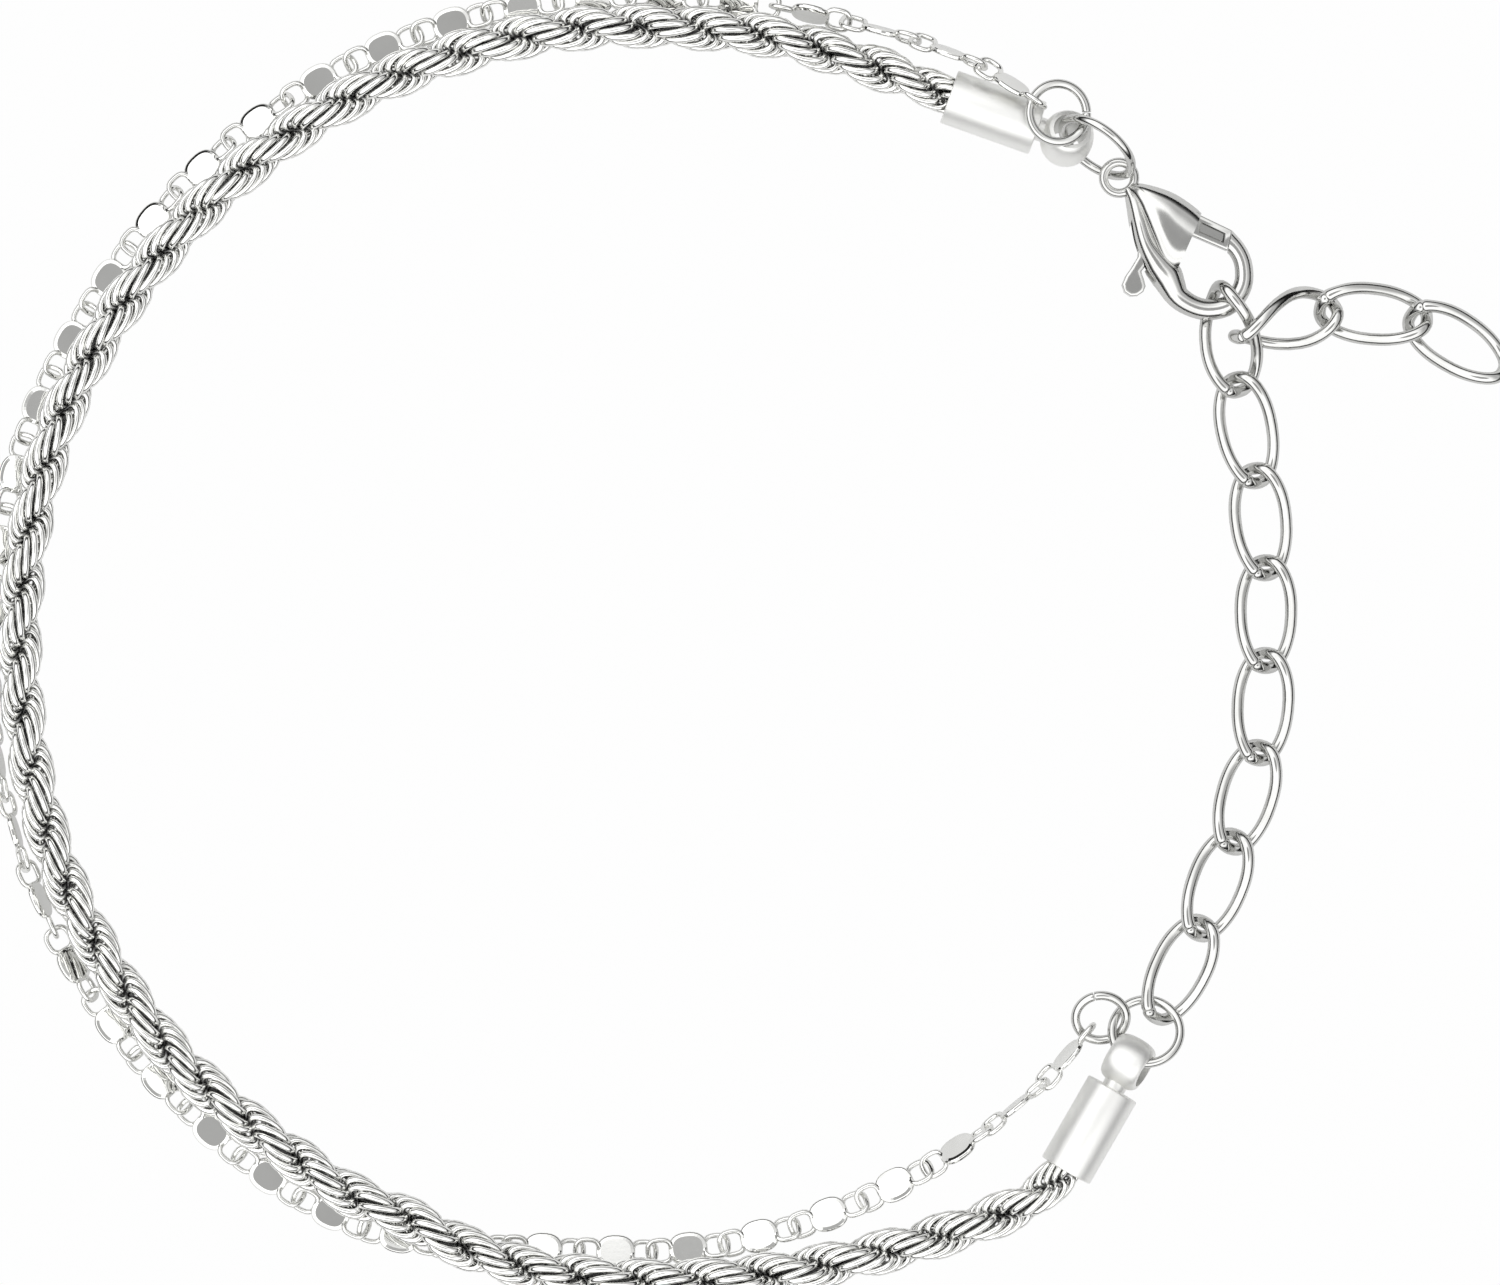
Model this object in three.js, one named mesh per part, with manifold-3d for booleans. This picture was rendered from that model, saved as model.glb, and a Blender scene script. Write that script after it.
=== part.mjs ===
// Two-strand chain bracelet, laid out on a flat surface: a rope chain and a flat-plate chain run
// side by side between two end fittings, with a lobster clasp and an extension chain of curb links.
// Millimetres, +Z up. The surface that it lies on is z = 0.
import * as THREE from "three";
import { mergeVertices } from "three/addons/utils/BufferGeometryUtils.js";
import Module from "manifold-3d";

const wasm = await Module();
wasm.setup();

const rad = THREE.MathUtils.degToRad;
const ALONG = new THREE.Vector3(1, 0, 0);
const UP = new THREE.Vector3(0, 0, 1);

// The loop's centre, measured from the middle of the whole bracelet's outline
const LOOP_CENTRE = { x: -4.6, y: -0.26 };

// Rope chain: two lobes twisted round each other
const ROPE = { lobeRadius: 1.12, waistRadius: 0.74, twistLength: 6.1, sides: 8, stepsPerTwist: 7 };
const ROPE_END = { radius: 0.72, depth: 2.2, straight: 0.6, taperFrom: 1.6, taperTo: 4.8 };

// Flat-plate chain: an oval plate with a round eye at each end, the eyes twisted to interlock
const PLATE = { halfLength: 2.18, halfWidth: 0.86, thickness: 0.34, outlineSides: 10, eyeTwist: -28 };
const PLATE_EYE = { along: 1.34, halfLength: 0.44, halfWidth: 0.39, sides: 6, flatUntil: 0.8 };
const PLATE_LINKS = 41;
const PLATE_PITCH = 3.65;
const PLATE_ENDS = {
  first: { name: "jump_ring_lower_small", heading: 233, roll: 62 },
  last: { name: "jump_ring_upper_small", heading: 152, roll: 118 },
};

// End fitting of the rope chain: a cup, a short neck and a broad loop
const CUP = { length: 4.7, radius: 1.375, bore: 1.18, depth: 3.6, sides: 16, shoulder: 0.3 };
const CUP_HEIGHT = CUP.radius * Math.cos(Math.PI / CUP.sides);
const NECK = { radius: 0.6, overlap: 0.35 };
const LOOP = { offset: 1.55, inner: 0.85, outer: 1.31, halfBand: 0.92, sides: 16 };
const LOOP_CROWN = { innerShare: 0.92, edgeRadius: 1.08, shoulderRadius: 1.24, shoulderShare: 0.6 };

// Jump rings and curb links are round wire
const RING = { wire: 0.46, sides: 16, wireSides: 6 };
const CURB = { wire: 0.62, halfLength: 2.69, halfWidth: 1.265, squareness: 0.8, pitch: 4.64 };
const CURB_TURN = { twist: 42, height: 0.82, sides: 16, wireSides: 6 };

// Lobster clasp, in its own plane: x runs from the eye to the hook, y towards the gate
const EYE = { radius: 0.78, wire: 0.38, sides: 14, wireSides: 6 };
const CLASP = { x: 23.45, y: 23.36, height: 1.25, heading: -46, sides: 12 };
const HOOK = { steps: 12, rootRadius: 0.58, tipRadius: 0.42 };
const SLOT = { height: 1.3, back: 1.45, front: 4.25, gateFront: 5.35, gateSide: -0.66, reach: 4 };
const LEVER = { thickness: 1.0, bore: 0.3 };
const PIVOT = { x: 2.3, y: 0 };
const PIN = { radius: 0.22, halfLength: 0.88, hole: 0.3, holeHalfLength: 0.95, sides: 10 };

// A short table: one object for each row, with the named columns
const table = (columns, rows) =>
  rows.map((row) => Object.fromEntries(columns.map((column, index) => [column, row[index]])));

// Routes round the loop: bearing in degrees clockwise from +X seen from above, roll in degrees
const ROPE_ROUTE = table(["bearing", "radius", "height"], [
  [54.6, 33.6, 1.375], [58, 33.45, 1.3], [64, 32.9, 1.2], [72, 32.3, 1.38], [80, 31.95, 1.7],
  [90, 31.7, 1.96], [100, 31.65, 2.08], [107, 31.4, 2.12], [113, 31.05, 2.0], [120, 31.2, 1.84],
  [140, 31.35, 1.76], [160, 31.5, 1.6], [180, 31.45, 1.66], [200, 31.5, 1.7], [220, 31.25, 1.76],
  [240, 31.15, 1.76], [260, 31.0, 1.74], [280, 30.95, 1.64], [290, 30.95, 1.4], [295.5, 31.1, 1.375],
]);
const PLATE_ROUTE = table(["bearing", "radius", "height", "roll"], [
  [46, 29.45, 1.0, 66], [53, 29.5, 0.99, 80], [59, 29.6, 0.84, 40],
  [66, 29.75, 0.54, 6], [73, 29.95, 0.5, 0], [80, 30.2, 0.5, 0], [87, 30.4, 0.5, 0],
  [94, 30.5, 0.5, 0], [101, 30.8, 0.5, 0], [107, 31.55, 0.5, 0], [113, 32.3, 0.5, 0],
  [120, 32.75, 0.5, 0], [130, 32.85, 0.5, 0], [145, 33.0, 0.54, 4], [158, 33.15, 0.94, 62],
  [166, 33.15, 0.99, 84], [173, 33.2, 0.94, 62], [184, 33.05, 0.54, 4], [200, 32.95, 0.5, 0],
  [220, 32.8, 0.5, 0], [235, 32.8, 0.5, 0], [250, 32.75, 0.5, 0], [265, 32.6, 0.5, 0],
  [277, 32.55, 0.55, 4], [284, 32.6, 0.97, 55], [290, 32.8, 1.15, 86], [296, 33.15, 1.85, 96],
  [300.5, 33.3, 2.5, 112],
]);

// End fittings: middle of the mouth, heading of the loop end, roll of the loop about that heading
const FITTINGS = table(["name", "x", "y", "heading", "roll"], [
  ["end_cap_lower", 20.78, -26.25, 60, 74],
  ["end_cap_upper", 14.95, 27.4, -19.6, -25],
]);

// Jump rings: centre, outer diameter, and the heading and angle of the side that is tilted up
const RINGS = table(["name", "x", "y", "height", "outer", "heading", "tilt"], [
  ["jump_ring_lower_small", 22.54, -18.64, 1.21, 3.0, 90, 25.5],
  ["jump_ring_lower_large", 24.8, -19.32, 1.25, 3.86, -82, 24.5],
  ["jump_ring_upper_small", 20.47, 26.47, 2.87, 3.2, 180, 10],
  ["jump_ring_upper_large", 22.3, 24.82, 2.1, 4.6, 53, 62],
]);

// Extension chain, from the lower large ring up to the clasp, and the tail that hangs from it
const EXTENSION_START = { x: 25.5, y: -18.35 };
const EXTENSION_HEADINGS = [63.7, 69.2, 73.5, 86.2, 90, 96.2, 101.3];
const HOOKED_LINK = { heading: 100.3, startTwist: 42, endTwist: 76, height: 1.02, slope: 7.5 };
const TAIL_START = { x: 29.2, y: 15.35 };
const TAIL_PITCH = 4.55;
const TAIL_LINKS = [
  { heading: 17, height: 1.27, slope: -10, startTwist: 104 },
  { heading: -5.9, height: CURB_TURN.height },
  { heading: -32, height: CURB_TURN.height },
];

// Clasp body: sections across its length, from the eye to the root of the hook
const CLASP_SECTIONS = table(["x", "low", "high", "halfThickness"], [
  [0.68, -0.3, 0.34, 0.3], [1.1, -0.62, 0.66, 0.72], [1.8, -1.12, 1.08, 1.0], [2.8, -1.75, 1.51, 1.13],
  [3.9, -2.25, 1.72, 1.13], [4.22, -2.37, 1.6, 1.1], [4.45, -2.43, 0.3, 1.0], [4.96, -2.54, -0.74, 0.82],
]);
const HOOK_ROUTE = table(["x", "y"], [
  [5.5, -1.97], [6.2, -2.05], [7.1, -1.85], [7.8, -1.42], [8.35, -0.6], [8.38, 0.05],
  [8.15, 0.75], [7.73, 1.23], [7.2, 1.58], [6.62, 1.72], [6.12, 1.7],
]);
const LEVER_OUTLINE = table(["x", "y"], [
  [1.72, -0.1], [1.85, 0.4], [2.35, 0.62], [4.0, 1.3], [5.5, 1.98], [5.78, 1.95], [5.86, 1.3],
  [4.6, 0.72], [3.15, 0.12], [3.15, -0.6], [4.05, -2.3], [4.5, -3.2], [4.3, -3.62], [3.72, -3.5],
  [3.0, -2.2], [2.0, -0.6],
]);

// Bright silver plating, a little duller on the fine rope and brightest on the plates
const POLISHED = {
  rope: { color: 0xd9d9d6, roughness: 0.2 },
  plate: { color: 0xdededb, roughness: 0.1 },
  fitting: { color: 0xe0e0dd, roughness: 0.15 },
  link: { color: 0xdcdcd9, roughness: 0.15 },
};

const bracelet = new THREE.Group();
bracelet.position.set(LOOP_CENTRE.x, LOOP_CENTRE.y, 0);

// A named piece in a group
const addPiece = (group, name, geometry, finish) => {
  const mesh = new THREE.Mesh(geometry, new THREE.MeshStandardMaterial({ ...finish, metalness: 1 }));
  mesh.name = name;
  group.add(mesh);
  return mesh;
};

// Joins shared vertices, so that a closed surface has no seam
const weld = (geometry) => {
  const bare = geometry.clone();
  bare.deleteAttribute("normal");
  bare.deleteAttribute("uv");
  return mergeVertices(bare, 1e-4);
};

const toSolid = (geometry) => {
  const welded = weld(geometry);
  const vertProperties = new Float32Array(welded.attributes.position.array);
  const triVerts = new Uint32Array(welded.index.array);
  return new wasm.Manifold(new wasm.Mesh({ numProp: 3, vertProperties, triVerts }));
};

const toGeometry = (solid) => {
  const mesh = solid.getMesh();
  const geometry = new THREE.BufferGeometry();
  const points = new Float32Array(mesh.vertProperties);
  geometry.setAttribute("position", new THREE.BufferAttribute(points, 3));
  geometry.setIndex(Array.from(mesh.triVerts));
  return geometry;
};

const union = (geometries) =>
  geometries.map(toSolid).reduce((whole, piece) => whole.add(piece));

// Moves every vertex of a geometry: place gets the vertex and its index
const mapVertices = (geometry, place) => {
  const position = geometry.attributes.position;
  const point = new THREE.Vector3();
  for (let index = 0; index < position.count; index += 1) {
    point.fromBufferAttribute(position, index);
    const moved = place(point, index);
    position.setXYZ(index, moved.x, moved.y, moved.z);
  }
  return geometry;
};

// Polygon with its corners on an ellipse
const ellipsePoints = (halfLength, halfWidth, sides, along = 0) =>
  Array.from({ length: sides }, (_, corner) => {
    const angle = (2 * Math.PI * corner) / sides;
    return new THREE.Vector2(along + halfLength * Math.cos(angle), halfWidth * Math.sin(angle));
  });

// Solid through a row of stations: each has a centre and the half-axes of its section
const loft = (sectionPoints, stations) => {
  const steps = stations.length - 1;
  const prism = new THREE.ExtrudeGeometry(new THREE.Shape(sectionPoints), {
    depth: steps,
    steps,
    bevelEnabled: false,
  });
  return mapVertices(prism, (corner) => {
    const { centre, side, up } = stations[Math.round(corner.z)];
    return centre.clone().addScaledVector(side, corner.x).addScaledVector(up, corner.y);
  });
};

// Centre line of a round ring: a point for each turn from 0 to 1
const circleLine = (radius) => (turn) => headingVector(360 * turn).multiplyScalar(radius);

// Closed wire round a ring curve: centreLine gives the point for a turn from 0 to 1
const wireRing = (centreLine, wire, sides, wireSides) => {
  const torus = new THREE.TorusGeometry(1, 0.5, wireSides, sides);
  const uv = torus.attributes.uv.clone();
  const small = 1e-3;
  return mapVertices(torus, (_, index) => {
    const turn = uv.getX(index) % 1;
    const around = 2 * Math.PI * (uv.getY(index) % 1);
    const centre = centreLine(turn);
    const tangent = centreLine(turn + small).sub(centreLine(turn - small)).normalize();
    const outward = centre.clone().addScaledVector(tangent, -centre.dot(tangent)).normalize();
    const across = outward.clone().cross(tangent);
    return centre
      .addScaledVector(outward, (wire / 2) * Math.cos(around))
      .addScaledVector(across, (wire / 2) * Math.sin(around));
  });
};

// Level direction at an angle from +X
const headingVector = (heading) => new THREE.Vector3(Math.cos(rad(heading)), Math.sin(rad(heading)), 0);

// Point on the loop, seen from above
const onLoop = ({ bearing, radius, height }) =>
  new THREE.Vector3(radius * Math.cos(rad(bearing)), -radius * Math.sin(rad(bearing)), height);

const routeCurve = (points) => {
  const curve = new THREE.CatmullRomCurve3(points, false, "centripetal");
  curve.arcLengthDivisions = 2000;
  return curve;
};

// Turns a piece so that its x axis follows a heading and slope, then rolls it about that axis
const aim = (object, heading, slope = 0, roll = 0) => {
  object.rotation.set(rad(roll), -rad(slope), rad(heading), "ZYX");
  return object;
};

// Rope chain, with each end run into its fitting
const mouthPoint = ({ x, y, heading }, depth) =>
  new THREE.Vector3(x, y, CUP_HEIGHT).addScaledVector(headingVector(heading), depth);

const ropeChain = () => {
  const [lower, upper] = FITTINGS;
  const curve = routeCurve([
    mouthPoint(lower, ROPE_END.depth), mouthPoint(lower, ROPE_END.straight),
    ...ROPE_ROUTE.map(onLoop),
    mouthPoint(upper, ROPE_END.straight), mouthPoint(upper, ROPE_END.depth),
  ]);
  const length = curve.getLength();
  const turns = length / ROPE.twistLength;
  const steps = Math.round(turns * ROPE.stepsPerTwist);
  const mean = (ROPE.lobeRadius + ROPE.waistRadius) / 2;
  const swing = (ROPE.lobeRadius - ROPE.waistRadius) / 2;
  const section = ellipsePoints(1, 1, ROPE.sides).map((point) => {
    const lobe = mean + swing * Math.cos(2 * point.angle());
    return point.multiplyScalar(lobe);
  });
  const stations = Array.from({ length: steps + 1 }, (_, step) => {
    const along = step / steps;
    const tangent = curve.getTangentAt(along);
    const side = UP.clone().cross(tangent).normalize();
    const top = tangent.clone().cross(side);
    const twist = 2 * Math.PI * turns * along;
    const fromEnd = Math.min(along, 1 - along) * length;
    const fullness = THREE.MathUtils.smoothstep(fromEnd, ROPE_END.taperFrom, ROPE_END.taperTo);
    const size = THREE.MathUtils.lerp(ROPE_END.radius / ROPE.lobeRadius, 1, fullness);
    const level = size * Math.cos(twist);
    const lift = size * Math.sin(twist);
    return {
      centre: curve.getPointAt(along),
      side: side.clone().multiplyScalar(level).addScaledVector(top, lift),
      up: top.clone().multiplyScalar(level).addScaledVector(side, -lift),
    };
  });
  return weld(loft(section, stations));
};

// One plate link, flat in the middle, its eyes turned opposite ways
const plateLink = () => {
  const outline = new THREE.Shape(ellipsePoints(PLATE.halfLength, PLATE.halfWidth, PLATE.outlineSides));
  const { along, halfLength, halfWidth, sides, flatUntil } = PLATE_EYE;
  for (const end of [-1, 1]) {
    outline.holes.push(new THREE.Path(ellipsePoints(halfLength, halfWidth, sides, end * along)));
  }
  const blank = new THREE.ExtrudeGeometry(outline, { depth: PLATE.thickness, bevelEnabled: false });
  blank.translate(0, 0, -PLATE.thickness / 2);
  return mapVertices(blank, (corner) => {
    const share = Math.sign(corner.x) * THREE.MathUtils.smoothstep(Math.abs(corner.x), flatUntil, along);
    return corner.applyAxisAngle(ALONG, share * rad(PLATE.eyeTwist));
  });
};

// Point on a jump ring's wire, on the side that faces a heading
const ringPoint = ({ name, heading }) => {
  const ring = RINGS.find((row) => row.name === name);
  const wireRadius = (ring.outer - RING.wire) / 2;
  const turn = rad(heading - ring.heading);
  const level = headingVector(ring.heading);
  const side = UP.clone().cross(level);
  const rise = level.multiplyScalar(Math.cos(rad(ring.tilt))).addScaledVector(UP, Math.sin(rad(ring.tilt)));
  return new THREE.Vector3(ring.x, ring.y, ring.height)
    .addScaledVector(rise, wireRadius * Math.cos(turn))
    .addScaledVector(side, wireRadius * Math.sin(turn));
};

// End of the chain's route, so that the last link's eye is threaded on its ring
const threadedEnd = (ringSide, nextPoint) => {
  const wire = ringPoint(ringSide);
  const past = wire.clone().sub(nextPoint).normalize();
  return wire.addScaledVector(past, PLATE_PITCH / 2 - PLATE_EYE.along);
};

// Flat-plate chain: each link spans two points of the route, and the links join where they meet
const plateChain = () => {
  const points = PLATE_ROUTE.map(onLoop);
  const first = threadedEnd(PLATE_ENDS.first, points[0]);
  const last = threadedEnd(PLATE_ENDS.last, points.at(-1));
  const curve = routeCurve([first, ...points, last]);
  const rolls = [PLATE_ENDS.first, ...PLATE_ROUTE, PLATE_ENDS.last].map((row) => row.roll);
  const rollAt = (along) => {
    const place = curve.getUtoTmapping(along) * (rolls.length - 1);
    const before = Math.floor(place);
    return THREE.MathUtils.lerp(rolls[before], rolls[before + 1], place - before);
  };
  const links = Array.from({ length: PLATE_LINKS }, (_, index) => {
    const start = curve.getPointAt(index / PLATE_LINKS);
    const run = curve.getPointAt((index + 1) / PLATE_LINKS).sub(start);
    const heading = THREE.MathUtils.radToDeg(Math.atan2(run.y, run.x));
    const slope = THREE.MathUtils.radToDeg(Math.asin(run.z / run.length()));
    const link = aim(new THREE.Object3D(), heading, slope, rollAt((index + 0.5) / PLATE_LINKS));
    link.position.copy(start).addScaledVector(run, 0.5);
    link.updateMatrix();
    return plateLink().applyMatrix4(link.matrix);
  });
  return toGeometry(union(links));
};

// End fitting along +X from its mouth
const endFitting = (roll) => {
  const { length, radius, bore, depth, shoulder } = CUP;
  const loopAt = length + LOOP.offset;
  const profile = [
    [0, depth], [bore - shoulder, depth], [bore, depth - shoulder], [bore, 0], [radius, 0],
    [radius, length - shoulder], [radius - shoulder, length], [NECK.radius, length],
    [NECK.radius, loopAt - LOOP.outer + NECK.overlap], [0, loopAt - LOOP.outer + NECK.overlap],
  ];
  const cup = new THREE.LatheGeometry(profile.map(([r, y]) => new THREE.Vector2(r, y)), CUP.sides);
  cup.rotateY(Math.PI / CUP.sides);
  const { innerShare, edgeRadius, shoulderRadius, shoulderShare } = LOOP_CROWN;
  const band = [
    [LOOP.inner, -innerShare], [edgeRadius, -1], [shoulderRadius, -shoulderShare], [LOOP.outer, 0],
    [shoulderRadius, shoulderShare], [edgeRadius, 1], [LOOP.inner, innerShare], [LOOP.inner, -innerShare],
  ];
  const bandPoints = band.map(([r, share]) => new THREE.Vector2(r, share * LOOP.halfBand));
  const loop = new THREE.LatheGeometry(bandPoints, LOOP.sides);
  loop.rotateX(Math.PI / 2);
  loop.rotateY(rad(roll));
  loop.translate(0, loopAt, 0);
  const whole = toGeometry(union([cup, loop]));
  return whole.rotateZ(-Math.PI / 2);
};

// Round jump ring, flat about its centre
const jumpRing = (outer) => {
  const radius = (outer - RING.wire) / 2;
  return weld(wireRing(circleLine(radius), RING.wire, RING.sides, RING.wireSides));
};

// Oval curb link along X, turned about X from one end to the other
const curbLink = (startTwist, endTwist) => {
  const power = (value) => Math.sign(value) * Math.abs(value) ** CURB.squareness;
  const oval = (turn) => {
    const angle = 2 * Math.PI * turn;
    const flat = new THREE.Vector3(
      CURB.halfLength * power(Math.cos(angle)), CURB.halfWidth * power(Math.sin(angle)), 0);
    const share = (flat.x / CURB.halfLength + 1) / 2;
    const twist = THREE.MathUtils.lerp(startTwist, -endTwist, share);
    return flat.applyAxisAngle(ALONG, rad(twist));
  };
  return weld(wireRing(oval, CURB.wire, CURB_TURN.sides, CURB_TURN.wireSides));
};

const linkName = (number) => `extension_link_${String(number).padStart(2, "0")}`;

// A curb link about its middle, lying flat with the usual twist unless told otherwise
const addLink = (number, middle, pose) => {
  const { heading, slope = 0, startTwist = CURB_TURN.twist, endTwist = CURB_TURN.twist } = pose;
  const link = addPiece(bracelet, linkName(number), curbLink(startTwist, endTwist), POLISHED.link);
  link.position.copy(middle);
  aim(link, heading, slope);
};

const extensionChain = () => {
  const step = (heading, distance) => headingVector(heading).multiplyScalar(distance);
  const joint = new THREE.Vector3(EXTENSION_START.x, EXTENSION_START.y, CURB_TURN.height);
  let number = 1;
  for (const heading of EXTENSION_HEADINGS) {
    addLink(number, joint.clone().add(step(heading, CURB.pitch / 2)), { heading });
    joint.add(step(heading, CURB.pitch));
    number += 1;
  }
  const hooked = joint.add(step(HOOKED_LINK.heading, CURB.pitch / 2)).setZ(HOOKED_LINK.height);
  addLink(number, hooked, HOOKED_LINK);
  number += 1;
  const tail = new THREE.Vector3(TAIL_START.x, TAIL_START.y, CURB_TURN.height);
  tail.add(step(TAIL_LINKS[0].heading, CURB.halfLength - TAIL_PITCH / 2));
  for (const link of TAIL_LINKS) {
    const middle = tail.clone().add(step(link.heading, TAIL_PITCH / 2));
    addLink(number, middle.setZ(link.height), link);
    tail.add(step(link.heading, TAIL_PITCH));
    number += 1;
  }
};

// Prism with an outline in the clasp's plane, centred on that plane
const flatPrism = (points, height, holes = []) => {
  const shape = new THREE.Shape(points);
  shape.holes.push(...holes.map((hole) => new THREE.Path(hole)));
  const prism = new THREE.ExtrudeGeometry(shape, { depth: height, bevelEnabled: false });
  return prism.translate(0, 0, -height / 2);
};

const circlePoints = (centre, radius, sides) =>
  ellipsePoints(radius, radius, sides).map((point) => point.add(new THREE.Vector2(centre.x, centre.y)));

const claspBody = () => {
  const section = ellipsePoints(1, 1, CLASP.sides);
  const across = new THREE.Vector3(0, 1, 0);
  const stations = CLASP_SECTIONS.map(({ x, low, high, halfThickness }) => ({
    centre: new THREE.Vector3(x, (low + high) / 2, 0),
    side: across.clone().multiplyScalar((high - low) / 2),
    up: UP.clone().multiplyScalar(halfThickness),
  }));
  const hook = routeCurve(HOOK_ROUTE.map(({ x, y }) => new THREE.Vector3(x, y, 0)));
  for (let step = 0; step <= HOOK.steps; step += 1) {
    const along = step / HOOK.steps;
    const tangent = hook.getTangentAt(along);
    const radius = THREE.MathUtils.lerp(HOOK.rootRadius, HOOK.tipRadius, along);
    stations.push({
      centre: hook.getPointAt(along),
      side: UP.clone().cross(tangent).multiplyScalar(radius),
      up: UP.clone().multiplyScalar(radius),
    });
  }
  const eye = wireRing(circleLine(EYE.radius), EYE.wire, EYE.sides, EYE.wireSides);
  const slotOutline = [
    [SLOT.back, -SLOT.reach], [SLOT.front, -SLOT.reach], [SLOT.front, SLOT.gateSide],
    [SLOT.gateFront, SLOT.gateSide], [SLOT.gateFront, SLOT.reach], [SLOT.back, SLOT.reach],
  ];
  const slot = flatPrism(slotOutline.map(([x, y]) => new THREE.Vector2(x, y)), SLOT.height);
  const pinHole = flatPrism(circlePoints(PIVOT, PIN.hole, PIN.sides), 2 * PIN.holeHalfLength);
  const body = union([loft(section, stations), eye]);
  return toGeometry(body.subtract(toSolid(slot)).subtract(toSolid(pinHole)));
};

const claspLever = () => {
  const outline = LEVER_OUTLINE.map(({ x, y }) => new THREE.Vector2(x, y));
  return flatPrism(outline, LEVER.thickness, [circlePoints(PIVOT, LEVER.bore, PIN.sides)]);
};

const claspPin = () => flatPrism(circlePoints(PIVOT, PIN.radius, PIN.sides), 2 * PIN.halfLength);

const lobsterClasp = () => {
  const clasp = new THREE.Group();
  clasp.position.set(CLASP.x, CLASP.y, CLASP.height);
  aim(clasp, CLASP.heading);
  addPiece(clasp, "clasp_body", claspBody(), POLISHED.fitting);
  addPiece(clasp, "clasp_lever", claspLever(), POLISHED.fitting);
  addPiece(clasp, "clasp_pin", claspPin(), POLISHED.fitting);
  bracelet.add(clasp);
};

addPiece(bracelet, "rope_chain", ropeChain(), POLISHED.rope);
addPiece(bracelet, "mirror_chain", plateChain(), POLISHED.plate);
for (const fitting of FITTINGS) {
  const cap = addPiece(bracelet, fitting.name, endFitting(fitting.roll), POLISHED.fitting);
  cap.position.set(fitting.x, fitting.y, CUP_HEIGHT);
  aim(cap, fitting.heading);
}
for (const { name, x, y, height, outer, heading, tilt } of RINGS) {
  const ring = addPiece(bracelet, name, jumpRing(outer), POLISHED.link);
  const axis = new THREE.Vector3(Math.sin(rad(heading)), -Math.cos(rad(heading)), 0);
  ring.position.set(x, y, height);
  ring.quaternion.setFromAxisAngle(axis, rad(tilt));
}
extensionChain();
lobsterClasp();

export default bracelet;
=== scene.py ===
"""Dresses the two-strand chain bracelet: wire rings, plate links, caps, rings, curb links and clasp.

Shapes are worked out in millimetres about the loop's centre, and moved to the part's frame in metres
when a piece is finished.
"""

import logging
import math
from contextlib import contextmanager
from dataclasses import dataclass
from enum import Enum
from typing import Callable, Iterator, Sequence

import bmesh
import bpy
import numpy as np
from mathutils import Matrix, Vector

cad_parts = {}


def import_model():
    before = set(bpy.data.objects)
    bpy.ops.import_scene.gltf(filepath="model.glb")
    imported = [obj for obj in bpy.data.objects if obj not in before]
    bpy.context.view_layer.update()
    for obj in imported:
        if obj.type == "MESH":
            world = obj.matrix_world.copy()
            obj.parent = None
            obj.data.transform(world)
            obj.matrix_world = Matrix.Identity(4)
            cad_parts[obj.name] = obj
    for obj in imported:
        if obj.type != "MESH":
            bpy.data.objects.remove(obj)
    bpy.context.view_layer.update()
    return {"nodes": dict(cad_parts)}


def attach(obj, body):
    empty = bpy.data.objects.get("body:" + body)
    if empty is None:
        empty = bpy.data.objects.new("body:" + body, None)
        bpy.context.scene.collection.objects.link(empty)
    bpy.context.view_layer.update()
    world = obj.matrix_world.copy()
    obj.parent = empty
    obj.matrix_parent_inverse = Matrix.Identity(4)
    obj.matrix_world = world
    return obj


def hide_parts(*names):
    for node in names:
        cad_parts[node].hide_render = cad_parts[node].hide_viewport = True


LOG = logging.getLogger("bracelet")

Piece = bpy.types.Object
Tree = bpy.types.NodeTree
Outline = Sequence[tuple[float, float]]
Colour = tuple[float, float, float]

MM = 0.001
UP = Vector((0.0, 0.0, 1.0))
LOOP_CENTRE = Vector((-4.6, -0.26, 0.0))
TO_FRAME = Matrix.Scale(MM, 4) @ Matrix.Translation(LOOP_CENTRE)
MAIN_BODY = "bracelet"
LEVER_BODY = "lever"
# Name of the per-corner attribute that sets how much painted shade darkens the rope rings' inner sides
UNSHADED = "unshaded"

# How closely a face follows a direction to be picked by it
FACING = 0.9

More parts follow.
